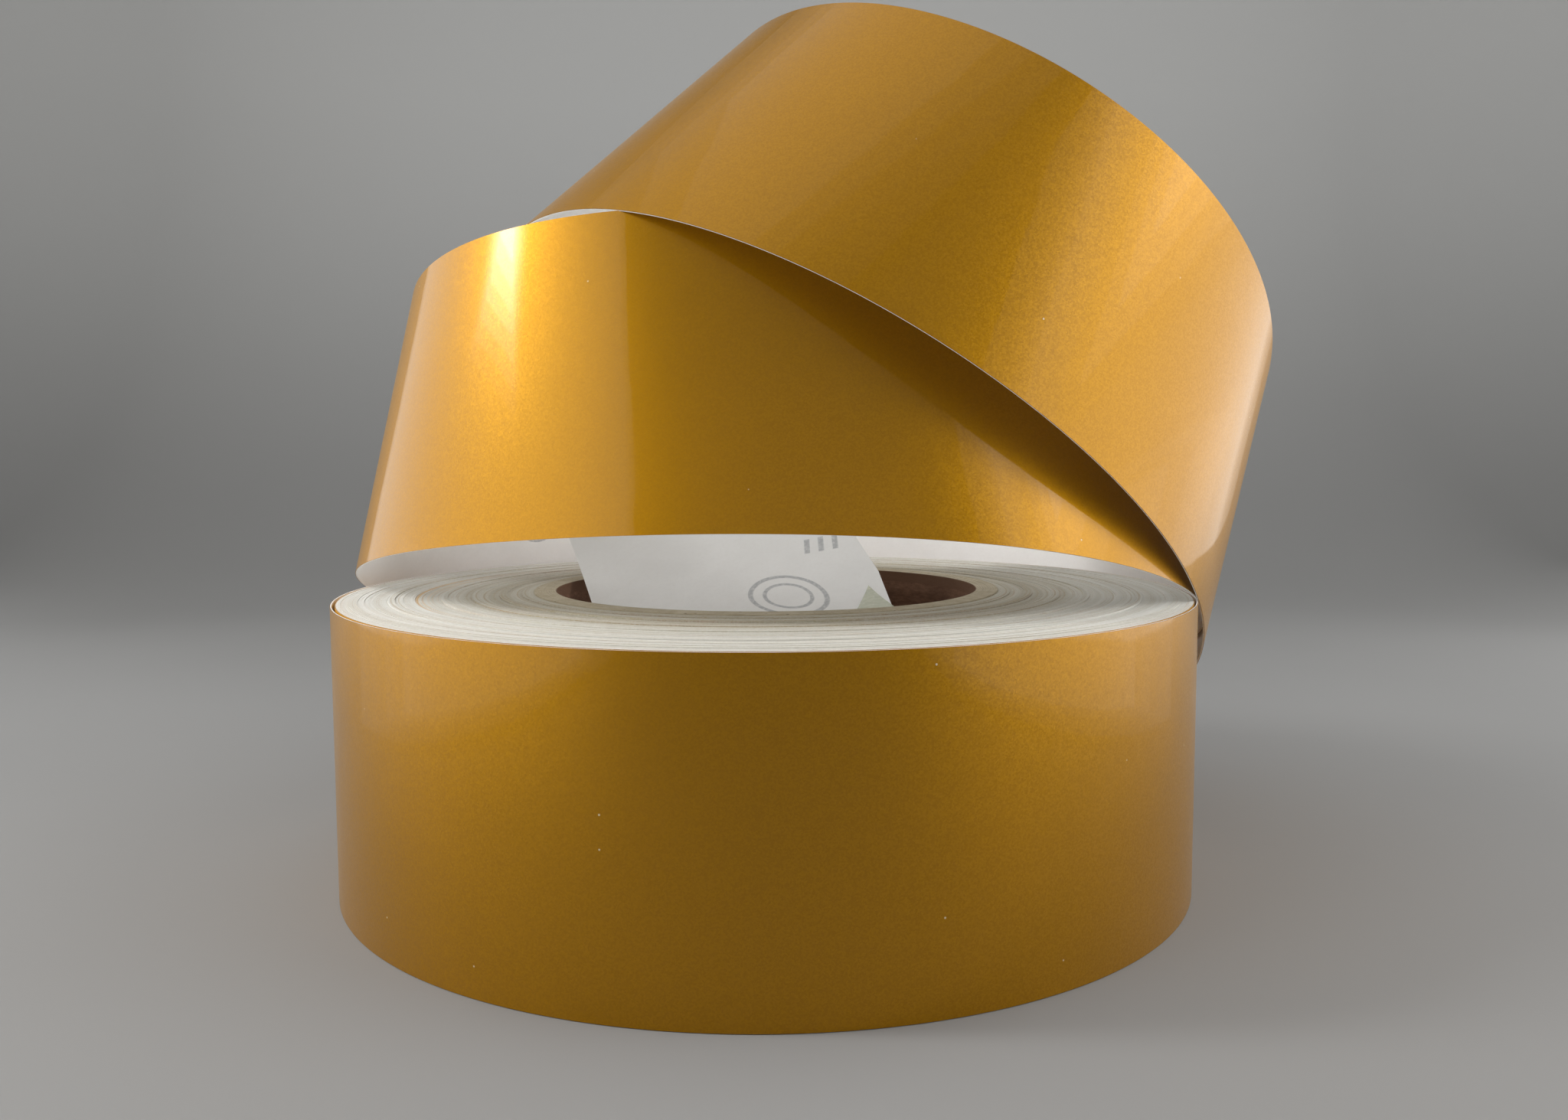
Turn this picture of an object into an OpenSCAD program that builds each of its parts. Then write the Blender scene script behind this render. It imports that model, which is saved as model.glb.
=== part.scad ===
// A roll of two inch sign vinyl, lying on its end, with its free end let out in two and a
// half loose laps above the roll and tucked into the mouth of the core.
// Origin on the roll's axis, level with its lower end. +Z runs up the axis.

/* [Web] */
// Width of the web, which is also the height of the roll
web_w = 50.8; // [48:0.1:52]
// Thickness of the coloured film
film_t = 0.08; // [0.06:0.01:0.1]
// Thickness of the coat of adhesive under the film
adhesive_t = 0.03; // [0.02:0.01:0.04]
// Thickness of the printed paper liner
liner_t = 0.17; // [0.12:0.01:0.18]

/* [Core] */
// Inside diameter of the paper core
core_d = 76.2; // [75:0.1:78]
// Thickness of the kraft ply that lines the core
inner_ply_t = 0.5; // [0.3:0.1:1]
// Thickness of the glued plies between the two faces of the core
wall_ply_t = 4.1; // [2:0.1:5]
// Thickness of the ply on the outside of the core
outer_ply_t = 0.4; // [0.3:0.1:1]
// How far the core stands out of the upper end of the roll
core_proud = 0.6; // [0.2:0.1:1.5]
// Height of the eased edge round the mouth of the core
ease_h = 4; // [2:0.1:5]
// Width of the eased edge round the mouth of the core
ease_w = 1; // [0.5:0.1:2]

/* [Roll] */
// Diameter of the wound turns under the last one
pack_d = 154; // [153.8:0.1:154.2]
// Slack between the wound turns and the last one, at its start
last_turn_slack = 0.08; // [0.05:0.01:0.1]

/* [Tape] */
// Thickness of the scrap of tape on the tail
tape_t = 0.06; // [0.04:0.01:0.1]
// Length of the tape that holds the first turn to the core
start_tape_l = 30; // [10:1:60]
// Thickness of the tape that holds the first turn to the core
start_tape_t = 0.1; // [0.05:0.01:0.2]

/* [Smoothness] */
// Length of one flat in the bent web
step_l = 5; // [4:0.5:8]

/* [Hidden] */
$fn = 180;
// How far a cut reaches past the face that it opens
eps = 0.5;

web_t = film_t + adhesive_t + liner_t;
core_r = core_d / 2;
wall_r = core_r + inner_ply_t;
outer_ply_r = wall_r + wall_ply_t;
pack_in_r = outer_ply_r + outer_ply_t;
pack_r = pack_d / 2;
core_h = web_w + core_proud;
// Height of the end of the tail, just inside the eased edge
tail_z = core_h - ease_h + 0.1;

// The upper end of the winding, where groups of turns stand a little proud. Each row is how far
// out from the core a group starts, and how far it stands above the web's width.
end_steps = [
    [0, 0.35], [2, 0.15], [4.5, 0.3], [6, 0], [9.5, 0.2], [11, 0.05],
    [15, 0.25], [16, 0], [20.5, 0.15], [24, 0.3], [25, 0.05], [29, 0.2], [31.5, 0]
];
turn_profile = [
    [pack_in_r, 0],
    for (i = [0 : len(end_steps) - 1])
    let (next = i + 1 < len(end_steps) ? end_steps[i + 1][0] : pack_r - pack_in_r)
    each [
        [pack_in_r + end_steps[i][0], web_w + end_steps[i][1]],
        [pack_in_r + next, web_w + end_steps[i][1]]
    ],
    [pack_r, 0]
];

// Slack that the last turn gains on its way round
turn_slack = 0.2;
// Radius of the middle of the web where the last turn starts, and where it leaves the roll
turn_start_r = pack_r + last_turn_slack + web_t / 2;
leave_r = turn_start_r + web_t + turn_slack;
// Direction from the axis to the line where the web leaves the roll, in degrees from +X
leave_a = 169.5;

// The layers of the web, as distances from its middle towards the liner side
film_h = [-web_t / 2, -web_t / 2 + film_t];
adhesive_h = [film_h[1], film_h[1] + adhesive_t];
liner_h = [adhesive_h[1], web_t / 2];

// The free end. It bends only about straight lines that cross it, as a flat strip does.
// Each row is a bend radius, and the slant of the bend lines from square across the web in
// degrees. The rows are blended along the web, one row to each stretch of this length.
stretch_l = 75;
bends = [
    [79, -1], [89.5, -3], [85, 18.5], [86.5, 15.5], [62.5, -5], [78.5, 6.5],
    [99, 19.5], [58.5, -33.5], [118.5, 19.5], [64, 8], [106, -11.5], [79.5, 29],
    [81, 0], [63, -17], [28, -29.5], [470, 31.5], [830, 59.5], [780, 48.5]
];
loose_l = 1055;

// The upper corner of the tail is cut off at a slant, over this length
corner_l = 19;
corner_slant = 0.2;

steps = round(loose_l / step_l);
ds = loose_l / steps;
curvatures = [for (b = bends) 1 / b[0]];
slopes = [for (b = bends) tan(b[1])];

// Smooth curve through a list, with x counted in rows
function blend(list, x) =
    let (i = floor(x), u = x - i)
    (
        pow(1 - u, 3) * list[i]
        + (3 * pow(u, 3) - 6 * u * u + 4) * list[i + 1]
        + (-3 * pow(u, 3) + 3 * u * u + 3 * u + 1) * list[i + 2]
        + pow(u, 3) * list[i + 3]
    ) / 6;

// A vector turned about a unit axis
function turned(v, axis, angle) =
    v * cos(angle) + cross(axis, v) * sin(angle) + axis * (axis * v) * (1 - cos(angle));

// A frame of the web is [middle, along, inward, across]. This carries it on by one step.
function advanced(frame, s) =
    let (
        bend_line = frame[3] + blend(slopes, s / stretch_l) * frame[1],
        axis = bend_line / norm(bend_line),
        angle = -blend(curvatures, s / stretch_l) * ds * norm(bend_line) * 180 / PI,
        along = turned(frame[1], axis, angle / 2)
    )
    [
        frame[0] + along * ds,
        turned(frame[1], axis, angle),
        turned(frame[2], axis, angle),
        turned(frame[3], axis, angle)
    ];

// The frame at an angle on the roll, for the given radius of the web's middle
function on_roll(a, r) = [
    [r * cos(a), r * sin(a), web_w / 2],
    [sin(a), -cos(a), 0],
    [-cos(a), -sin(a), 0],
    [0, 0, 1]
];

// How much narrower the web is at a distance along the free end
function corner_cut(s) = max(0, s - loose_l + corner_l) * corner_slant;

// A section of the web is [middle, inward, bend line, how much narrower it is]
function section(frame, slope, cut = 0) = [frame[0], frame[2], frame[3] + slope * frame[1], cut];

// The last wound turn, in flats about as long as those of the free end
turn_steps = round(2 * PI * pack_r / ds);
last_turn = [
    for (i = [0 : turn_steps])
    let (part = i / turn_steps, slope = i < turn_steps ? 0 : blend(slopes, 0))
    section(on_roll(leave_a - 360 * part, turn_start_r + (leave_r - turn_start_r) * part), slope)
];
// The free end, from the line where it leaves the roll
frames = [
    for (i = 0, f = on_roll(leave_a, leave_r); i <= steps; i = i + 1, f = advanced(f, (i - 0.5) * ds))
    f
];
loose = [
    for (i = [0 : steps])
    section(frames[i], blend(slopes, i * ds / stretch_l), corner_cut(i * ds))
];

// The scrap of tape lies on the liner side, near the end of the tail. Its outline starts from
// the upper edge of the web, with X across the web and Y back along it.
tape_i = steps - 2;
tape_gap = 0.1;
tape_outline = [[-3.4, 8.2], [-1.8, 0.2], [-3, -5], [-11, -2]];
tape_frame = frames[tape_i];
tape_at = tape_frame[0] + web_w / 2 * loose[tape_i][2] + (web_t / 2 + tape_gap) * tape_frame[2];
tape_turn = [
    for (i = [0 : 2])
    [tape_frame[3][i], -tape_frame[1][i], tape_frame[2][i], tape_at[i]]
];

// One layer of the web, between two distances from its middle
module layer(sections, h) {
    half = web_w / 2;
    points = [
        for (s = sections)
        each [
            s[0] - half * s[2] + h[0] * s[1],
            s[0] + (half - s[3]) * s[2] + h[0] * s[1],
            s[0] + (half - s[3]) * s[2] + h[1] * s[1],
            s[0] - half * s[2] + h[1] * s[1]
        ]
    ];
    end = 4 * (len(sections) - 1);
    faces = [
        [0, 1, 2, 3],
        for (i = [0 : 4 : end - 4])
        each [
            [i, i + 4, i + 5], [i, i + 5, i + 1],
            [i + 3, i + 2, i + 6], [i + 3, i + 6, i + 7],
            [i + 1, i + 5, i + 6], [i + 1, i + 6, i + 2],
            [i, i + 3, i + 7], [i, i + 7, i + 4]
        ],
        [end, end + 3, end + 2, end + 1]
    ];
    polyhedron(points, faces);
}

// A plain tube from the lower end of the roll
module tube(r_in, r_out, h) {
    difference() {
        cylinder(h = h, r = r_out);
        translate([0, 0, -eps]) cylinder(h = h + 2 * eps, r = r_in);
    }
}

// The room that the eased edge leaves at the upper mouth of the core
module eased_mouth() {
    translate([0, 0, core_h - ease_h]) cylinder(h = ease_h, r1 = core_r, r2 = core_r + ease_w);
    translate([0, 0, core_h]) cylinder(h = eps, r = core_r + ease_w);
}

// The room below the end of the tail
module cut_below_tail() {
    cylinder(h = tail_z, r = pack_in_r);
}

// A layer of the loose end, whose tail is cut off level in the mouth of the core
module loose_layer(h) {
    difference() {
        layer(loose, h);
        cut_below_tail();
    }
}

module core_inner_ply() {
    color([0.36, 0.24, 0.19])
    difference() {
        tube(core_r, wall_r, core_h);
        eased_mouth();
    }
}

module core_wall() {
    color([0.72, 0.6, 0.45])
    difference() {
        tube(wall_r, outer_ply_r, core_h);
        eased_mouth();
    }
}

module core_outer_ply() {
    color([0.66, 0.54, 0.4]) tube(outer_ply_r, pack_in_r, core_h);
}

// The start tape, or with room inside and below it, what it takes out of the turns
module start_tape(room) {
    angle = start_tape_l / pack_in_r * 180 / PI;
    rotate([0, 0, leave_a])
    rotate_extrude(angle = angle)
    translate([pack_in_r - room, -room]) square([start_tape_t + room, web_w + room]);
}

module core_start_tape() {
    color([0.85, 0.8, 0.6]) start_tape(0);
}

// All the turns under the last one. They don't end quite level with each other.
module wound_turns() {
    color([0.93, 0.91, 0.86])
    difference() {
        rotate_extrude() polygon(turn_profile);
        start_tape(eps);
    }
}

module last_turn_liner() {
    color([0.94, 0.94, 0.92]) layer(last_turn, liner_h);
}

module last_turn_adhesive() {
    color([0.85, 0.85, 0.8]) layer(last_turn, adhesive_h);
}

module last_turn_film() {
    color([0.76, 0.55, 0.1]) layer(last_turn, film_h);
}

module loose_liner() {
    color([0.94, 0.94, 0.92]) loose_layer(liner_h);
}

module loose_adhesive() {
    color([0.85, 0.85, 0.8]) loose_layer(adhesive_h);
}

module loose_film() {
    color([0.76, 0.55, 0.1]) loose_layer(film_h);
}

// A torn scrap of tape near the corner of the tail
module tail_tape() {
    color([0.83, 0.84, 0.66])
    difference() {
        multmatrix(tape_turn) linear_extrude(tape_t) polygon(tape_outline);
        cut_below_tail();
    }
}

core_inner_ply();
core_wall();
core_outer_ply();
core_start_tape();
wound_turns();
last_turn_liner();
last_turn_adhesive();
last_turn_film();
loose_liner();
loose_adhesive();
loose_film();
tail_tape();
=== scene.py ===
"""Looks of a roll of two inch sign vinyl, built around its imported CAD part.

Shapes are worked out in millimetres, as in part.scad, and meshes are in metres.
"""

import math

import bpy
import numpy as np
from mathutils import Matrix, Vector


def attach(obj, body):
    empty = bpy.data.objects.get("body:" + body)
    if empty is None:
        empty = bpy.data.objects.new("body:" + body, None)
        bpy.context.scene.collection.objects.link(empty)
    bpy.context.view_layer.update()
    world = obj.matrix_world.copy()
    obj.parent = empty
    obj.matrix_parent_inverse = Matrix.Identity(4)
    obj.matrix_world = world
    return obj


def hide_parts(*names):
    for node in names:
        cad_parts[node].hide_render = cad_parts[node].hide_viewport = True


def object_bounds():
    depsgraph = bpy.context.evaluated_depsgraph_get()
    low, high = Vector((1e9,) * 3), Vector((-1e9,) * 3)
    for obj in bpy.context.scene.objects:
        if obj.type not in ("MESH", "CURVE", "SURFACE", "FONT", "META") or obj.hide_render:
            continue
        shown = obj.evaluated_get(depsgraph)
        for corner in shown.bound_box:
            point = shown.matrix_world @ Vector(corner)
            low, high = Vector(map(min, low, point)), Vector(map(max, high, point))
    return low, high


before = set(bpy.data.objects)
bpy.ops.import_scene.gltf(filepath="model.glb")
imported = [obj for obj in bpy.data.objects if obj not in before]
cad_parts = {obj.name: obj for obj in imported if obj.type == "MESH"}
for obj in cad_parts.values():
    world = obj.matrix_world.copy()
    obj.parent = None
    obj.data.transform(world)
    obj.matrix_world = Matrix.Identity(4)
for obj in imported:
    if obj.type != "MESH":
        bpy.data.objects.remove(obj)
cad_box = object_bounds()

MM = 0.001
BODY = "root"
rng = np.random.default_rng(11)

# ---------------------------------------------------------------------------
# Sizes and the web's route, as in part.scad
# ---------------------------------------------------------------------------
WEB_W = 50.8
FILM_T = 0.08
ADHESIVE_T = 0.03
LINER_T = 0.17
WEB_T = FILM_T + ADHESIVE_T + LINER_T

CORE_R = 38.1
INNER_PLY_T = 0.5
WALL_PLY_T = 4.1
OUTER_PLY_T = 0.4
WALL_R = CORE_R + INNER_PLY_T
OUTER_PLY_R = WALL_R + WALL_PLY_T
PACK_IN_R = OUTER_PLY_R + OUTER_PLY_T
CORE_PROUD = 0.6
CORE_H = WEB_W + CORE_PROUD
EASE_H = 4.0
EASE_W = 1.0
# Height of the end of the tail, just inside the eased edge
TAIL_Z = CORE_H - EASE_H + 0.1

# The wound turns, the slack of the last turn at its start and on its way round, and the angle
# at which the web leaves the roll
PACK_R = 77.0
LAST_TURN_SLACK = 0.08
TURN_SLACK = 0.2
TURN_START_R = PACK_R + LAST_TURN_SLACK + WEB_T / 2
LEAVE_R = TURN_START_R + WEB_T + TURN_SLACK
LEAVE_A = 169.5

# How many turns there are under the last one, and how thick each is drawn
TURNS = int((PACK_R - PACK_IN_R) / WEB_T)
PITCH = (PACK_R - PACK_IN_R) / TURNS

# Distances from the middle of the web towards its liner side
FILM_H = (-WEB_T / 2, -WEB_T / 2 + FILM_T)
ADHESIVE_H = (FILM_H[1], FILM_H[1] + ADHESIVE_T)
LINER_H = (ADHESIVE_H[1], WEB_T / 2)

# How far out from the core a group of turns starts, and how far it stands proud
END_STEPS = [
    (0, 0.35), (2, 0.15), (4.5, 0.3), (6, 0), (9.5, 0.2), (11, 0.05),
    (15, 0.25), (16, 0), (20.5, 0.15), (24, 0.3), (25, 0.05), (29, 0.2), (31.5, 0),
]

# A bend radius, and the slant of the bend lines in degrees, for each stretch of the free end
STRETCH_L = 75
BENDS = [
    (79, -1), (89.5, -3), (85, 18.5), (86.5, 15.5), (62.5, -5), (78.5, 6.5),
    (99, 19.5), (58.5, -33.5), (118.5, 19.5), (64, 8), (106, -11.5), (79.5, 29),
    (81, 0), (63, -17), (28, -29.5), (470, 31.5), (830, 59.5), (780, 48.5),
]
LOOSE_L = 1055
CURVATURES = [1 / radius for radius, slant in BENDS]
SLOPES = [math.tan(math.radians(slant)) for radius, slant in BENDS]

# The upper corner of the tail is cut off at a slant, over this length
CORNER_L = 19
CORNER_SLANT = 0.2

# The scrap of tape: how far it lies from the end of the web and off its liner, and its outline
# from the upper edge, with X across the web and Y back along it
TAPE_BACK = 10
TAPE_GAP = 0.1
TAPE_T = 0.06
TAPE_OUTLINE = [(-11, -2), (-3.4, 8.2), (-1.8, 0.2), (-3, -5)]

# Height of the ring of points half way up the core's plies
CORE_MID_H = 25.0

# How far the glued seam of the core's lining climbs in one turn, as in any spiral tube
SEAM_LEAD = 118.0

# How fine the meshes are: segments round the axis, steps along and points across the web, and
# rows of the free end that close up where the tail is cut
SEGMENTS = 288
TURN_STEPS = 360
LOOSE_STEP = 1.0
COLUMNS = 15
TAIL_ROWS = 90


def blend(rows, x):
    """Smooth curve through a list, with x counted in rows."""
    i = min(int(x), len(rows) - 4)
    u = x - i
    weights = (
        (1 - u) ** 3,
        3 * u ** 3 - 6 * u ** 2 + 4,
        -3 * u ** 3 + 3 * u ** 2 + 3 * u + 1,
        u ** 3,
    )
    return sum(w * rows[i + k] for k, w in enumerate(weights)) / 6


def turned(v, axis, angle):
    """A vector turned about a unit axis."""
    return (
        v * math.cos(angle)
        + np.cross(axis, v) * math.sin(angle)
        + axis * (axis @ v) * (1 - math.cos(angle))
    )


def on_roll(degrees, radius):
    """Middle, along, inward and across of the web at an angle on the roll."""
    c, s = math.cos(math.radians(degrees)), math.sin(math.radians(degrees))
    return [
        np.array([radius * c, radius * s, WEB_W / 2]),
        np.array([s, -c, 0.0]),
        np.array([-c, -s, 0.0]),
        np.array([0.0, 0.0, 1.0]),
    ]


class Route:
    """A stretch of web at even steps along it: its middle and directions, the bend line across
    it, and how much narrower it is than the whole web."""

    def __init__(self):
        self.along, self.cut = [], []
        self.middle, self.ahead, self.inward, self.line = [], [], [], []

    def add(self, along, web, slope, cut=0.0):
        self.along.append(along)
        self.cut.append(cut)
        self.middle.append(web[0])
        self.ahead.append(web[1])
        self.inward.append(web[2])
        self.line.append(web[3] + slope * web[1])

    def done(self):
        for name, values in vars(self).items():
            setattr(self, name, np.array(values))
        return self


def loose_route():
    """The free end, which bends only about straight lines that cross it."""
    route = Route()
    web = on_roll(LEAVE_A, LEAVE_R)
    steps = round(LOOSE_L / LOOSE_STEP)
    route.add(0, web, blend(SLOPES, 0))
    for i in range(steps):
        x = (i + 0.5) * LOOSE_STEP / STRETCH_L
        bend_line = web[3] + blend(SLOPES, x) * web[1]
        length = np.linalg.norm(bend_line)
        axis = bend_line / length
        angle = -blend(CURVATURES, x) * LOOSE_STEP * length
        middle = web[0] + turned(web[1], axis, angle / 2) * LOOSE_STEP
        web = [middle] + [turned(v, axis, angle) for v in web[1:]]
        s = (i + 1) * LOOSE_STEP
        cut = max(0.0, s - LOOSE_L + CORNER_L) * CORNER_SLANT
        route.add(s, web, blend(SLOPES, s / STRETCH_L), cut)
    return route.done()


def last_turn_route():
    """The last wound turn, which gains a little slack on its way round, and ends on the slanted
    line at which the free end starts."""
    route = Route()
    for i in range(TURN_STEPS + 1):
        part = i / TURN_STEPS
        radius = TURN_START_R + (LEAVE_R - TURN_START_R) * part
        web = on_roll(LEAVE_A - 360 * part, radius)
        slope = 0 if i < TURN_STEPS else blend(SLOPES, 0)
        route.add(2 * math.pi * PACK_R * (part - 1), web, slope)
    return route.done()


# ---------------------------------------------------------------------------
# Meshes
# ---------------------------------------------------------------------------
def new_object(name, points, faces, uv=None, sharp=35):
    """A smooth mesh from points in millimetres, with its sharp edges kept."""
    mesh = bpy.data.meshes.new(name)
    mesh.from_pydata((np.asarray(points) * MM).tolist(), [], faces)
    mesh.update()
    if uv is not None:
        layer = mesh.uv_layers.new(name="web")
        corners = np.zeros(len(mesh.loops), np.int32)
        mesh.loops.foreach_get("vertex_index", corners)
        layer.data.foreach_set("uv", (np.asarray(uv)[corners] * MM).astype(np.float32).ravel())
    mesh.polygons.foreach_set("use_smooth", [True] * len(mesh.polygons))
    mesh.set_sharp_from_angle(angle=math.radians(sharp))
    thing = bpy.data.objects.new(name, mesh)
    bpy.context.scene.collection.objects.link(thing)
    return thing


def shell(name, outer, inner, uv):
    """A closed sheet between two grids of points. inner lies on the liner side of outer."""
    rows, columns = outer.shape[:2]
    index = np.arange(rows * columns).reshape(rows, columns)
    second = index + rows * columns
    faces = []
    for i in range(rows - 1):
        for j in range(columns - 1):
            a, b, c, d = index[i, j], index[i + 1, j], index[i + 1, j + 1], index[i, j + 1]
            faces.append((a, d, c, b))
            faces.append((second[i, j], second[i + 1, j], second[i + 1, j + 1], second[i, j + 1]))
    rim = [(index[i, 0], second[i, 0]) for i in range(rows)]
    rim += [(index[-1, j], second[-1, j]) for j in range(1, columns)]
    rim += [(index[i, -1], second[i, -1]) for i in range(rows - 2, -1, -1)]
    rim += [(index[0, j], second[0, j]) for j in range(columns - 2, 0, -1)]
    for k, (a, b) in enumerate(rim):
        c, d = rim[(k + 1) % len(rim)]
        faces.append((a, c, d, b))
    points = np.concatenate([outer.reshape(-1, 3), inner.reshape(-1, 3)])
    faces = [tuple(int(v) for v in face) for face in faces]
    return new_object(name, points, faces, np.concatenate([uv.reshape(-1, 2)] * 2))


def cut_tail(grid, along, z):
    """Pulls the last rows back, column by column, so that the grid ends level at z."""
    rows = len(grid)
    first = rows - TAIL_ROWS
    grid, along = grid.copy(), along.copy()
    for j in range(grid.shape[1]):
        column, distance = grid[:, j].copy(), along[:, j].copy()
        low = np.nonzero(column[first:, 2] < z)[0]
        end = rows - 1.0
        if len(low):
            k = first + low[0]
            end = k - 1 + (column[k - 1, 2] - z) / (column[k - 1, 2] - column[k, 2])
        at = np.linspace(first, end, rows - first)
        for axis in range(3):
            grid[first:, j, axis] = np.interp(at, np.arange(rows), column[:, axis])
        along[first:, j] = np.interp(at, np.arange(rows), distance)
    return grid, along


def web_layer(name, route, heights, tail_z=None):
    """One layer of the web, with its own length and width as the map."""
    across = np.linspace(-WEB_W / 2, WEB_W / 2 - route.cut, COLUMNS, axis=1)
    sides = []
    for h in heights:
        grid = (
            route.middle[:, None]
            + across[:, :, None] * route.line[:, None]
            + h * route.inward[:, None]
        )
        along = np.repeat(route.along[:, None], COLUMNS, axis=1)
        if tail_z is not None:
            grid, along = cut_tail(grid, along, tail_z)
        sides.append(grid)
    uv = np.stack([along, across], axis=2)
    return shell(name, sides[0], sides[1], uv)


def round_angles():
    """The angle of each segment round the axis."""
    return np.arange(SEGMENTS) * 2 * math.pi / SEGMENTS


def lathe(name, radii, heights, sharp=35):
    """A ring turned about the roll's axis from a closed outline. Radii and heights are numbers
    for each point of the outline, or arrays of them for each segment."""
    angles = round_angles()
    radii = np.broadcast_to(radii, (SEGMENTS, np.shape(radii)[-1]))
    heights = np.broadcast_to(heights, (SEGMENTS, np.shape(heights)[-1]))
    count = radii.shape[1]
    points = np.stack(
        [radii * np.cos(angles)[:, None], radii * np.sin(angles)[:, None], heights], axis=2
    ).reshape(-1, 3)
    faces = []
    for i in range(SEGMENTS):
        for j in range(count):
            a, b = i * count + j, i * count + (j + 1) % count
            c = (i + 1) % SEGMENTS * count + j
            d = (i + 1) % SEGMENTS * count + (j + 1) % count
            faces.append((a, c, d, b))
    return new_object(name, points, faces, sharp=sharp)


def step_height(out):
    """How far the group of turns at a distance out from the core stands proud."""
    return [proud for start, proud in END_STEPS if out >= start - 1e-6][-1]


def wound_turns():
    """The turns under the last one. At the upper end each turn stands at its own height, which
    drifts on its way round, and the groups of turns stand proud of each other. At the lower end
    the turns are lifted a little in groups, and every third group rests on the floor."""
    highest = WEB_W + max(proud for start, proud in END_STEPS)
    step_share = 0.85
    per_group = 4
    angles = round_angles()
    own = rng.uniform(0, 0.07, TURNS)
    swing = rng.uniform(0.005, 0.03, TURNS)
    phase = np.cumsum(rng.uniform(-0.7, 0.7, TURNS))
    radii, heights = [], []
    for k in range(TURNS):
        top = WEB_W + step_share * step_height(k * PITCH) + own[k]
        wave = np.sin(angles + phase[k])
        ripple = 0.4 * np.sin(3 * angles + 2 * phase[k])
        top = np.minimum(top + swing[k] * (wave + ripple), highest)
        for r in (PACK_IN_R + k * PITCH, PACK_IN_R + (k + 1) * PITCH):
            radii.append(r)
            heights.append(top)
    for k in range(TURNS // per_group - 1, -1, -1):
        lift = 0.04 + 0.03 * np.sin(angles + phase[per_group * k]) if k % 3 else 0 * angles
        for turn in (per_group * (k + 1), per_group * k):
            radii.append(PACK_IN_R + turn * PITCH)
            heights.append(lift)
    radii[2 * TURNS] = PACK_R
    return lathe("wound_turns_rings", np.array(radii), np.stack(heights, axis=1), sharp=25)


def core_lining():
    """The kraft ply, with the seam that winds round a spiral tube."""
    rows = 60
    seam_half_w = 0.5
    seam_depth = 0.14
    wave_h = 0.03
    angles = round_angles()[:, None]
    z_top = CORE_H - EASE_H
    z = np.linspace(0, z_top, rows)
    climb = SEAM_LEAD * angles / (2 * math.pi)
    off_seam = (z[None] - climb + SEAM_LEAD / 2) % SEAM_LEAD - SEAM_LEAD / 2
    groove = seam_depth * np.exp(-((off_seam / seam_half_w) ** 2))
    wave = wave_h * np.sin(5 * angles + z[None] / 9)
    bore = CORE_R + wave_h + groove + wave
    slope = EASE_H / EASE_W
    lip = [(CORE_R + out, z_top + out * slope) for out in (0.15, 0.25, 0.35, 0.45)]
    lip.append((WALL_R, z_top + (WALL_R - CORE_R) * slope))
    back = [(WALL_R, CORE_MID_H), (WALL_R, 0.0)]
    outline = np.array(lip + back)
    radii = np.concatenate([bore, np.repeat(outline[None, :, 0], SEGMENTS, axis=0)], axis=1)
    heights = np.concatenate([z, outline[:, 1]])
    return lathe("core_lining_ply", radii, heights)


def core_board():
    """The glued plies, whose edges show as fine rings in the upper end, with a groove between."""
    plies = 9
    groove_d = 0.09
    worn_d = 0.12
    lower_gap = 0.03
    ply_w = WALL_PLY_T / plies
    eased = CORE_H - EASE_H * (1 - INNER_PLY_T / EASE_W)
    outline = [(WALL_R, 0.0), (WALL_R, CORE_MID_H), (WALL_R, eased)]
    for k in range(plies):
        r0, r1 = WALL_R + k * ply_w, WALL_R + (k + 1) * ply_w
        for r in (r0 + 0.03, r1 - 0.05):
            slope = CORE_H - EASE_H * max(0.0, CORE_R + EASE_W - r) / EASE_W
            outline.append((r, slope - 0.02 * (k % 3)))
        if k < plies - 1:
            outline.append((r1, CORE_H - groove_d))
    outline += [(OUTER_PLY_R, CORE_H - worn_d), (OUTER_PLY_R, CORE_MID_H), (OUTER_PLY_R, 0.0)]
    outline += [(WALL_R + 2.7, lower_gap), (WALL_R + 1.4, lower_gap)]
    outline = np.array(outline[::-1])
    return lathe("core_board_plies", outline[:, 0], outline[:, 1], sharp=30)


def core_wrap():
    """The ply round the outside of the core, with its upper corners worn off."""
    worn = 0.1
    outline = np.array([
        (PACK_IN_R, 0.0), (PACK_IN_R, CORE_MID_H), (PACK_IN_R, CORE_H - worn),
        (PACK_IN_R - worn, CORE_H), (OUTER_PLY_R + 0.8 * worn, CORE_H),
        (OUTER_PLY_R, CORE_H - worn), (OUTER_PLY_R, CORE_MID_H), (OUTER_PLY_R, 0.0),
    ])
    return lathe("core_outer_wrap", outline[:, 0], outline[:, 1])


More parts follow.
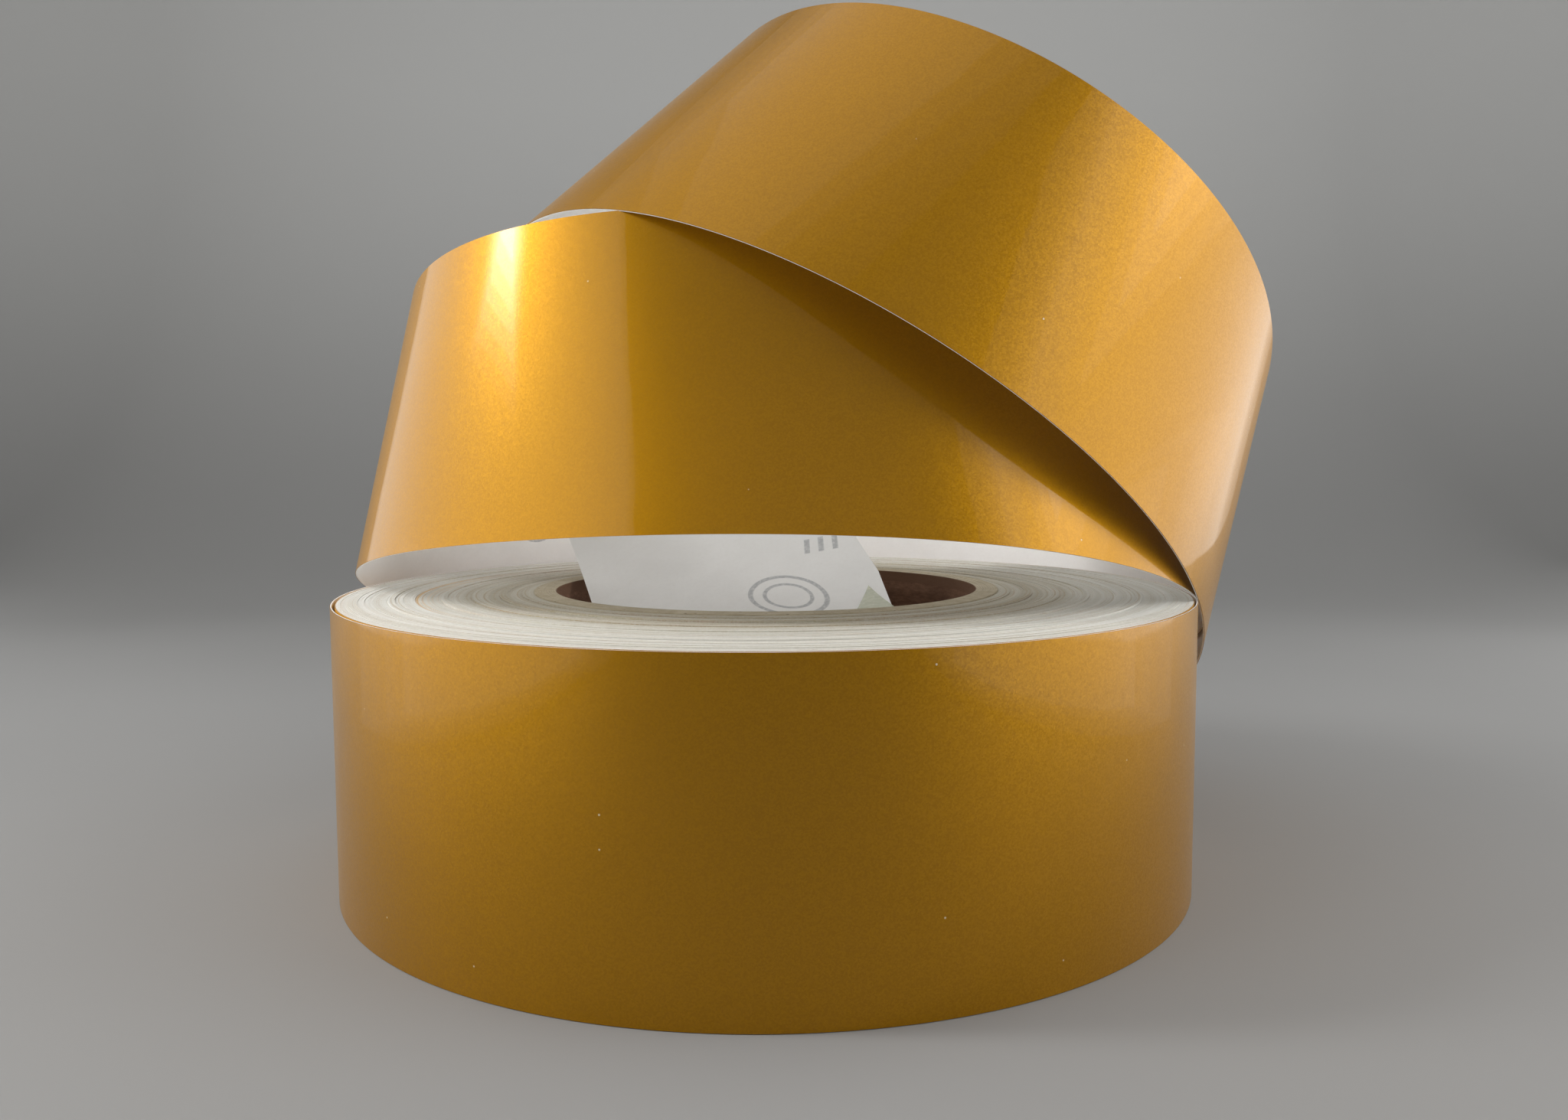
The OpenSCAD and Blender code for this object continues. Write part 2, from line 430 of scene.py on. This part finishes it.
def tape_scrap(route):
    """The torn scrap of tape near the corner of the tail, a little curled at its free side."""
    size = 25
    at = np.nonzero(route.along >= LOOSE_L - TAPE_BACK)[0][0]
    ahead, inward, line = route.ahead[at], route.inward[at], route.line[at]
    across = np.cross(inward, ahead)
    corner = route.middle[at] + WEB_W / 2 * line + (WEB_T / 2 + TAPE_GAP) * inward
    low_left, top, right, low_right = np.array(TAPE_OUTLINE, float)
    u = np.linspace(0, 1, size)
    torn = 0.16 * np.sin(u * 47) + 0.1 * np.sin(u * 91 + 1)
    flat = np.zeros((size, size, 2))
    for i, a in enumerate(u):
        left, other = low_left + (top - low_left) * a, low_right + (right - low_right) * a
        for j, b in enumerate(u):
            flat[i, j] = left + (other - left) * b
        flat[i, :, 1] += torn * a * (1 - abs(2 * a - 1)) * 0.5
        flat[i, -1, 0] += torn[i]
    lift = 0.02 * np.clip(flat[:, :, 1] - 3, 0, None) ** 2
    points = (
        corner
        + flat[:, :, :1] * across
        - flat[:, :, 1:] * ahead
        + lift[:, :, None] * inward
    )
    points[:, :, 2] = np.maximum(points[:, :, 2], TAIL_Z)
    return shell("tail_tape_scrap", points, points + TAPE_T * inward, flat)


# ---------------------------------------------------------------------------
# Materials
# ---------------------------------------------------------------------------
class Nodes:
    """A material's node tree, with short calls for the nodes used here."""

    def __init__(self, name):
        self.material = bpy.data.materials.new(name)
        self.material.use_nodes = True
        self.tree = self.material.node_tree
        self.shader = self.tree.nodes["Principled BSDF"]

    def plug(self, socket, value):
        if isinstance(value, bpy.types.NodeSocket):
            self.tree.links.new(value, socket)
        elif value is not None:
            socket.default_value = value

    def add(self, kind, inputs=None, **settings):
        made = self.tree.nodes.new(kind)
        for name, value in settings.items():
            setattr(made, name, value)
        for name, value in (inputs or {}).items():
            self.plug(made.inputs[name], value)
        return made

    def math(self, operation, *values):
        made = self.add("ShaderNodeMath", operation=operation)
        for socket, value in zip(made.inputs, values):
            self.plug(socket, value)
        return made.outputs[0]

    def vector(self, operation, *values):
        made = self.add("ShaderNodeVectorMath", operation=operation)
        for socket, value in zip(made.inputs, values):
            self.plug(socket, value)
        return made.outputs["Value" if operation == "LENGTH" else "Vector"]

    def noise(self, at, scale, detail=3.0, roughness=0.5):
        made = self.add(
            "ShaderNodeTexNoise",
            {"Vector": at, "Scale": scale, "Detail": detail, "Roughness": roughness},
        )
        return made.outputs["Fac"]

    def noise_along(self, value, roughness):
        """Noise that changes with one number."""
        made = self.add(
            "ShaderNodeTexNoise",
            {"W": value, "Scale": 1.0, "Detail": 2.0, "Roughness": roughness},
            noise_dimensions="1D",
        )
        return made.outputs["Fac"]

    def spread(self, value, low, high, to_low=0.0, to_high=1.0):
        """Where a value lies from low to high, smoothed, as a number from to_low to to_high."""
        made = self.add(
            "ShaderNodeMapRange",
            {"Value": value, "From Min": low, "From Max": high, "To Min": to_low, "To Max": to_high},
            interpolation_type="SMOOTHSTEP",
        )
        return made.outputs["Result"]

    def mix(self, share, first, second):
        made = self.add("ShaderNodeMix", data_type="RGBA")
        self.plug(made.inputs["Factor"], share)
        self.plug(made.inputs[6], first)
        self.plug(made.inputs[7], second)
        return made.outputs[2]

    def bump(self, height, distance, strength=1.0, normal=None):
        made = self.add(
            "ShaderNodeBump", {"Height": height, "Distance": distance, "Strength": strength}
        )
        if normal is not None:
            self.plug(made.inputs["Normal"], normal)
        return made.outputs["Normal"]

    def place(self):
        return self.add("ShaderNodeTexCoord").outputs["Object"]

    def set(self, **values):
        for name, value in values.items():
            self.plug(self.shader.inputs[name.replace("_", " ")], value)
        return self.material


def film_material():
    """Gold metallic cast film: fine flakes under a clear gloss, with a little dust on it."""
    n = Nodes("gold_metallic_film")
    at = n.place()
    flakes = n.add("ShaderNodeTexVoronoi", {"Vector": at, "Scale": 4200.0})
    tilt = n.vector("SUBTRACT", flakes.outputs["Color"], (0.5, 0.5, 0.5))
    tilt = n.vector("MULTIPLY", tilt, (0.06, 0.06, 0.06))
    face = n.add("ShaderNodeNewGeometry").outputs["Normal"]
    flake_normal = n.vector("NORMALIZE", n.vector("ADD", face, tilt))
    shade = n.add("ShaderNodeSeparateColor", {"Color": flakes.outputs["Color"]}).outputs["Red"]
    cloud = n.noise(at, 900.0, 2.0)
    gold = n.mix(n.spread(shade, 0.0, 1.0), (0.38, 0.174, 0.0003, 1), (0.43, 0.203, 0.0006, 1))
    gold = n.mix(n.spread(cloud, 0.35, 0.7, 0.0, 0.2), gold, (0.355, 0.160, 0.0003, 1))
    specks = n.add("ShaderNodeTexVoronoi", {"Vector": at, "Scale": 230.0})
    chosen = n.add("ShaderNodeSeparateColor", {"Color": specks.outputs["Color"]}).outputs["Green"]
    dust = n.math(
        "MULTIPLY",
        n.spread(specks.outputs["Distance"], 0.045, 0.02),
        n.spread(chosen, 0.80, 0.84),
    )
    gold = n.mix(n.math("MULTIPLY", dust, 0.7), gold, (0.86, 0.78, 0.55, 1))
    waves = n.noise(at, 55.0, 1.0)
    peel = n.noise(at, 420.0, 1.0)
    coat = n.bump(waves, 0.0001, 1.0)
    coat = n.bump(peel, 0.000004, 1.0, coat)
    rub = n.noise(at, 28.0, 4.0, 0.6)
    return n.set(
        Base_Color=gold,
        Metallic=n.math("SUBTRACT", 0.7, n.math("MULTIPLY", dust, 0.6)),
        Roughness=n.spread(rub, 0.3, 0.7, 0.36, 0.43),
        Normal=flake_normal,
        Specular_IOR_Level=0.05,
        Coat_Weight=0.5,
        Coat_IOR=1.5,
        Coat_Roughness=n.spread(rub, 0.35, 0.75, 0.03, 0.075),
        Coat_Normal=coat,
    )


def printed(n, along, across):
    """A generic mark of two rings and three slanted bars, printed again and again."""
    pitch, start = 0.064, 0.0155
    ring_across, ring_r, inner_share, line_w = 0.0075, 0.0062, 0.62, 0.0004
    bar_pitch, bar_w, bar_slant = 0.0026, 0.001, 0.35
    bars_along, bars_l, bars_across, bars_w = -0.0130, 0.0034, 0.0186, 0.0078
    blur = 0.0001

    def within(value, middle, width):
        off = n.math("ABSOLUTE", n.math("SUBTRACT", value, middle))
        return n.spread(off, width / 2 + blur, width / 2 - blur)

    lane = n.math("SUBTRACT", n.math("WRAP", n.math("ADD", along, start), pitch, 0.0), pitch / 2)
    side = n.math("SUBTRACT", across, ring_across)
    out = n.math(
        "SQRT", n.math("ADD", n.math("MULTIPLY", lane, lane), n.math("MULTIPLY", side, side))
    )
    ring = n.math("ABSOLUTE", n.math("SUBTRACT", out, ring_r))
    inner = n.math("ABSOLUTE", n.math("SUBTRACT", out, ring_r * inner_share))
    rings = n.math(
        "MAXIMUM",
        n.spread(ring, line_w * 1.3, line_w * 0.7),
        n.spread(inner, line_w * 1.1, line_w * 0.5),
    )
    slant = n.math("ADD", across, n.math("MULTIPLY", lane, bar_slant))
    bar = within(n.math("WRAP", slant, bar_pitch, 0.0), bar_pitch / 2, bar_w)
    area = n.math(
        "MULTIPLY", within(lane, bars_along, bars_l), within(across, bars_across, bars_w)
    )
    return n.math("MAXIMUM", rings, n.math("MULTIPLY", bar, area))


def liner_material():
    """Smooth coated paper, with a pale grey print on the side away from the film."""
    n = Nodes("printed_liner_paper")
    at = n.place()
    web = n.add("ShaderNodeSeparateXYZ", {"Vector": n.add("ShaderNodeUVMap", uv_map="web").outputs[0]})
    ink = printed(n, web.outputs["X"], web.outputs["Y"])
    grain = n.noise(at, 1500.0, 4.0, 0.6)
    cloud = n.noise(at, 90.0, 4.0, 0.6)
    ink = n.math("MULTIPLY", ink, n.spread(grain, 0.25, 0.6, 0.35, 0.75))
    paper = n.mix(n.spread(cloud, 0.3, 0.7), (0.86, 0.85, 0.83, 1), (0.90, 0.89, 0.87, 1))
    paper = n.mix(n.spread(grain, 0.4, 0.75, 0.0, 0.25), paper, (0.80, 0.78, 0.75, 1))
    return n.set(
        Base_Color=n.mix(ink, paper, (0.36, 0.37, 0.38, 1)),
        Roughness=n.spread(cloud, 0.3, 0.7, 0.42, 0.54),
        Specular_IOR_Level=0.4,
        Normal=n.bump(grain, 0.00001, 0.7),
    )


def adhesive_material():
    """Clear pressure sensitive adhesive, seen only as a fine line in the edge."""
    n = Nodes("clear_adhesive")
    grain = n.noise(n.place(), 2500.0, 2.0)
    return n.set(
        Base_Color=n.mix(grain, (0.60, 0.55, 0.42, 1), (0.72, 0.68, 0.56, 1)),
        Roughness=n.spread(grain, 0.3, 0.7, 0.2, 0.35),
        Normal=n.bump(grain, 0.000005, 0.6),
    )


def roll_end_material():
    """The ends of the turns: paper edges with a fine line of film between, fibrous and a little
    rubbed, and the film itself on the outside. The inner turns are darker with painted shade,
    and the outermost wound turn shows as a dark line, its film edge partly darkened as painted shade."""
    n = Nodes("ends_of_the_turns")
    at = n.place()
    split = n.add("ShaderNodeSeparateXYZ", {"Vector": at})
    x, y, z = (split.outputs[k] for k in "XYZ")
    flat = n.add("ShaderNodeCombineXYZ", {"X": x, "Y": y, "Z": 0.0}).outputs[0]
    out = n.vector("LENGTH", flat)
    turn = n.math("DIVIDE", n.math("SUBTRACT", out, PACK_IN_R * MM), PITCH * MM)
    part = n.math("FRACT", turn)
    angle = n.math("ARCTAN2", y, x)
    own = n.noise_along(n.math("MULTIPLY", n.math("FLOOR", turn), 1.37), 0.7)
    group = n.noise_along(n.math("MULTIPLY", turn, 0.13), 0.5)
    ring_place = n.add("ShaderNodeCombineXYZ", {
        "X": n.math("MULTIPLY", turn, 0.9),
        "Y": n.math("MULTIPLY", n.math("COSINE", angle), 3.0),
        "Z": n.math("MULTIPLY", n.math("SINE", angle), 3.0),
    }).outputs[0]
    drift = n.noise(ring_place, 1.0, 3.0)
    fibre = n.noise(at, 2600.0, 5.0, 0.7)
    fluff = n.noise(at, 700.0, 4.0, 0.65)
    # Paper that is darker and browner towards the core is painted shade: the shade of the lap that hangs
    # over the inner turns.
    shaded_inner_paper = n.mix(n.spread(group, 0.35, 0.65), (0.38, 0.345, 0.26, 1), (0.52, 0.49, 0.41, 1))
    outer_paper = n.mix(n.spread(group, 0.35, 0.65), (0.60, 0.585, 0.53, 1), (0.68, 0.67, 0.625, 1))
    paper = n.mix(n.spread(out, 0.044, 0.069), shaded_inner_paper, outer_paper)
    paper = n.mix(n.spread(drift, 0.5, 0.85, 0.0, 0.45), paper, (0.58, 0.50, 0.36, 1))
    film_line = n.math("MULTIPLY", n.spread(part, 0.68, 0.78), n.spread(own, 0.42, 0.66, 0.06, 0.7))
    film_line = n.math("MULTIPLY", film_line, n.spread(fluff, 0.3, 0.7, 0.35, 1.0))
    tint = n.mix(n.spread(drift, 0.3, 0.7), (0.42, 0.33, 0.14, 1), (0.36, 0.20, 0.11, 1))
    colour = n.mix(film_line, paper, tint)
    dark_turn = n.math("MULTIPLY", n.spread(own, 0.62, 0.68), n.spread(drift, 0.35, 0.6, 0.1, 0.65))
    colour = n.mix(dark_turn, colour, (0.38, 0.29, 0.16, 1))
    # The outermost wound turn is drawn dark gold-brown: partly its own film edge, partly painted shade
    # of the gap under the last turn.
    outer_edge_and_gap_shade = n.spread(turn, TURNS - 0.6, TURNS - 0.5)
    colour = n.mix(outer_edge_and_gap_shade, colour, (0.36, 0.20, 0.06, 1))
    colour = n.mix(n.spread(fibre, 0.35, 0.75, 0.0, 0.3), colour, (0.84, 0.82, 0.77, 1))
    on_wall = n.math("MULTIPLY", n.spread(z, WEB_W * MM, (WEB_W - 0.05) * MM), n.spread(z, 0.0, 0.0002))
    colour = n.mix(on_wall, colour, (0.66, 0.32, 0.015, 1))
    height = n.math("ADD", fibre, n.math("MULTIPLY", fluff, 0.8))
    return n.set(
        Base_Color=colour,
        Roughness=n.spread(fluff, 0.3, 0.7, 0.7, 0.9),
        Specular_IOR_Level=0.3,
        Normal=n.bump(height, 0.00006, 0.8),
    )


def kraft_material(name, dark, light, seam=False, mouth_shade=None):
    """Recycled board with short fibres that run a little round the core. seam draws the glued
    seam of a spiral tube, and the colour given for the slope at the core's opening is painted
    shade there, the shade of the bore."""
    n = Nodes(name)
    at = n.place()
    along_fibres = n.vector("MULTIPLY", at, (1.0, 1.0, 3.5))
    fibre = n.noise(along_fibres, 520.0, 6.0, 0.7)
    blotch = n.noise(at, 70.0, 3.0)
    fleck = n.add("ShaderNodeTexVoronoi", {"Vector": along_fibres, "Scale": 420.0})
    stain = (*(0.7 * c for c in dark[:3]), 1)
    colour = n.mix(n.spread(fibre, 0.3, 0.7), dark, light)
    colour = n.mix(n.spread(blotch, 0.35, 0.7, 0.0, 0.4), colour, stain)
    spot = n.math("MULTIPLY", n.spread(fleck.outputs["Distance"], 0.14, 0.06), 0.45)
    colour = n.mix(spot, colour, (0.10, 0.07, 0.05, 1))
    split = n.add("ShaderNodeSeparateXYZ", {"Vector": at})
    # The slope at the core's opening is drawn dark: painted shade of the bore, reaching up to the rim.
    if mouth_shade:
        flat = n.add("ShaderNodeCombineXYZ", {"X": split.outputs["X"], "Y": split.outputs["Y"]})
        edge = (CORE_R + EASE_W) * MM
        worn = n.spread(n.vector("LENGTH", flat.outputs[0]), edge + 0.0002, edge - 0.0001)
        colour = n.mix(worn, colour, mouth_shade)
    if seam:
        lead = SEAM_LEAD * MM
        angle = n.math("ARCTAN2", split.outputs["Y"], split.outputs["X"])
        off = n.math("SUBTRACT", split.outputs["Z"], n.math("MULTIPLY", angle, lead / (2 * math.pi)))
        off = n.math("SUBTRACT", n.math("WRAP", n.math("ADD", off, lead / 2), lead, 0.0), lead / 2)
        line = n.spread(n.math("ABSOLUTE", off), 0.0006, 0.0002, 0.0, 0.6)
        colour = n.mix(line, colour, (0.09, 0.05, 0.03, 1))
    return n.set(
        Base_Color=colour,
        Roughness=n.spread(fibre, 0.3, 0.7, 0.78, 0.95),
        Specular_IOR_Level=0.25,
        Normal=n.bump(fibre, 0.00008, 0.7),
    )


def tape_material(name, thin, thick):
    """Translucent tape with a crinkle and a few trapped bubbles."""
    n = Nodes(name)
    at = n.place()
    crinkle = n.noise(n.vector("MULTIPLY", at, (1.0, 3.0, 1.0)), 700.0, 3.0)
    bubble = n.add("ShaderNodeTexVoronoi", {"Vector": at, "Scale": 900.0}).outputs["Distance"]
    colour = n.mix(n.spread(crinkle, 0.3, 0.7), thin, thick)
    colour = n.mix(n.spread(bubble, 0.2, 0.1, 0.0, 0.4), colour, (0.80, 0.80, 0.68, 1))
    return n.set(
        Base_Color=colour,
        Roughness=n.spread(crinkle, 0.3, 0.7, 0.35, 0.55),
        Transmission_Weight=0.35,
        IOR=1.3,
        Normal=n.bump(crinkle, 0.00002, 0.8),
    )


def floor_material():
    """A plain pale sweep, a little lighter up its wall, which gets less light."""
    n = Nodes("pale_sweep")
    at = n.place()
    grain = n.noise(at, 900.0, 3.0)
    cloud = n.noise(at, 3.0, 3.0)
    height = n.add("ShaderNodeSeparateXYZ", {"Vector": at}).outputs["Z"]
    colour = n.mix(n.spread(cloud, 0.3, 0.7), (0.255, 0.253, 0.248, 1), (0.275, 0.273, 0.268, 1))
    colour = n.mix(n.spread(height, 0.0, 0.35), colour, (0.52, 0.52, 0.51, 1))
    return n.set(
        Base_Color=colour,
        Roughness=0.85,
        Specular_IOR_Level=0.2,
        Normal=n.bump(grain, 0.00002, 0.4),
    )


# ---------------------------------------------------------------------------
# Camera, lights and floor
# ---------------------------------------------------------------------------
def make_camera():
    """A wide lens close to the roll, a little above its upper end."""
    data = bpy.data.cameras.new("camera")
    data.sensor_width = 36
    data.lens = 29.49
    data.clip_start = 0.01
    camera = bpy.data.objects.new("camera", data)
    bpy.context.scene.collection.objects.link(camera)
    yaw, pitch, roll = math.radians(0.79), math.radians(4.776), math.radians(-0.197)
    turn = (
        Matrix.Rotation(-yaw, 3, "Z")
        @ Matrix.Rotation(math.pi / 2 - pitch, 3, "X")
        @ Matrix.Rotation(roll, 3, "Z")
    )
    camera.matrix_world = Matrix.Translation((0, -0.24123, 0.07639)) @ turn.to_4x4()
    bpy.context.scene.camera = camera


def softbox(name, at, towards, width, height, radiance):
    """An evenly lit rectangle."""
    data = bpy.data.lights.new(name, "AREA")
    data.shape = "RECTANGLE"
    data.size = width
    data.size_y = height
    data.energy = math.pi * radiance * width * height
    lamp = bpy.data.objects.new(name, data)
    bpy.context.scene.collection.objects.link(lamp)
    lamp.matrix_world = Matrix.Translation(at) @ towards.to_track_quat("-Z", "Y").to_matrix().to_4x4()
    lamp.visible_camera = False


def glow(name, at, aim, outer, inner, edge, middle, steps):
    """A light behind a diffuser: softboxes that get smaller from the outer size to the inner one,
    each a millimetre in front of the last. They add up to the radiance called edge at its rim,
    and to middle more than that where it is brightest."""
    ahead = (Vector(aim) - Vector(at)).normalized()
    shares = [(k + 1) ** 2 for k in range(steps)]
    for k in range(steps):
        part = k / (steps - 1)
        width, height = (a + (b - a) * part for a, b in zip(outer, inner))
        radiance = middle * shares[k] / sum(shares) + (edge if k == 0 else 0.0)
        softbox(f"{name}_{k}", Vector(at) + MM * k * ahead, ahead, width, height, radiance)


def make_lights():
    """Broad panels at both sides, each with a brighter lamp behind it and a low strip near the
    floor, and a soft panel above."""
    glow("left_panel", (-0.40, -0.06, 0.27), (0, -0.06, 0.27), (0.84, 0.54), (0.78, 0.54), 0.8, 0.5, 4)
    glow("right_panel", (0.40, -0.01, 0.27), (0, -0.01, 0.27), (0.78, 0.54), (0.56, 0.54), 0.42, 1.45, 7)
    glow("left_lamp", (-0.39, -0.065, 0.36), (0, -0.065, 0.36), (0.15, 0.36), (0.04, 0.22), 0.0, 27.0, 8)
    glow("right_lamp", (0.39, -0.08, 0.31), (0, -0.08, 0.31), (0.38, 0.44), (0.08, 0.14), 0.0, 4.5, 7)
    glow("left_strip", (-0.20, -0.14, 0.04), (0, -0.14, 0.04), (0.36, 0.075), (0.22, 0.06), 0.2, 0.75, 4)
    glow("right_strip", (0.20, -0.13, 0.04), (0, -0.13, 0.04), (0.36, 0.075), (0.22, 0.06), 0.2, 0.8, 4)
    glow("top_panel", (0.0, -0.05, 0.9), (0, -0.05, 0.05), (1.4, 1.4), (0.7, 0.7), 0.2, 0.75, 5)
    world = bpy.data.worlds.new("studio")
    world.use_nodes = True
    background = world.node_tree.nodes["Background"]
    background.inputs["Color"].default_value = (0.97, 0.98, 1.0, 1)
    background.inputs["Strength"].default_value = 0.10
    bpy.context.scene.world = world
    bpy.context.scene.view_settings.view_transform = "Standard"


def make_floor(low):
    """A round floor that curves up into a plain sweep, level with the underside of the roll."""
    flat_r, bend_r, wall_h = 450.0, 300.0, 900.0
    flat_rings, bend_rings, segments = 12, 16, 128
    outline = [(flat_r * (k + 1) / flat_rings, 0.0) for k in range(flat_rings)]
    for k in range(bend_rings):
        a = math.pi / 2 * (k + 1) / bend_rings
        outline.append((flat_r + bend_r * math.sin(a), bend_r * (1 - math.cos(a))))
    outline.append((flat_r + bend_r, bend_r + wall_h))
    points = [(0, 0, 0)]
    for r, z in outline:
        for j in range(segments):
            a = 2 * math.pi * j / segments
            points.append((r * math.cos(a), r * math.sin(a), z))
    faces = []
    for j in range(segments):
        faces.append((0, 1 + j, 1 + (j + 1) % segments))
    for i in range(len(outline) - 1):
        for j in range(segments):
            a, b = 1 + i * segments + j, 1 + i * segments + (j + 1) % segments
            faces.append((a, a + segments, b + segments, b))
    floor = new_object("floor", points, faces)
    floor.location.z = low - 0.0001
    floor.data.materials.append(floor_material())


# ---------------------------------------------------------------------------
# The scene
# ---------------------------------------------------------------------------
def finish_piece(piece, node, material):
    """Gives a piece its material, its slot and its body, and hides the CAD node that it stands for."""
    piece.data.materials.append(material)
    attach(piece, BODY)
    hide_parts(node)
    return piece


def build():
    film, liner, adhesive = film_material(), liner_material(), adhesive_material()
    loose, turn = loose_route(), last_turn_route()
    layers = (
        ("film", FILM_H, film),
        ("adhesive", ADHESIVE_H, adhesive),
        ("liner", LINER_H, liner),
    )
    for kind, heights, material in layers:
        piece = web_layer(f"free_end_{kind}", loose, heights, TAIL_Z)
        finish_piece(piece, f"loose_{kind}", material)
        piece = web_layer(f"outer_turn_{kind}", turn, heights)
        finish_piece(piece, f"last_turn_{kind}", material)
    turns = finish_piece(wound_turns(), "wound_turns", roll_end_material())
    lining = kraft_material(
        "kraft_lining", (0.15, 0.075, 0.042, 1), (0.26, 0.14, 0.085, 1), seam=True
    )
    # The dark colour for the slope at the core's opening is painted shade.
    board = kraft_material(
        "core_board", (0.46, 0.39, 0.27, 1), (0.60, 0.53, 0.40, 1), mouth_shade=(0.17, 0.09, 0.052, 1)
    )
    finish_piece(core_lining(), "core_inner_ply", lining)
    finish_piece(core_board(), "core_wall", board)
    finish_piece(core_wrap(), "core_outer_ply", board)
    scrap_look = tape_material("scrap_of_tape", (0.52, 0.53, 0.36, 1), (0.66, 0.67, 0.50, 1))
    scrap = finish_piece(tape_scrap(loose), "tail_tape", scrap_look)
    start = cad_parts["core_start_tape"]
    start.data.materials.clear()
    start.data.materials.append(
        tape_material("start_tape", (0.62, 0.50, 0.28, 1), (0.74, 0.63, 0.40, 1))
    )


make_camera()
make_lights()
build()
make_floor(cad_box[0][2])
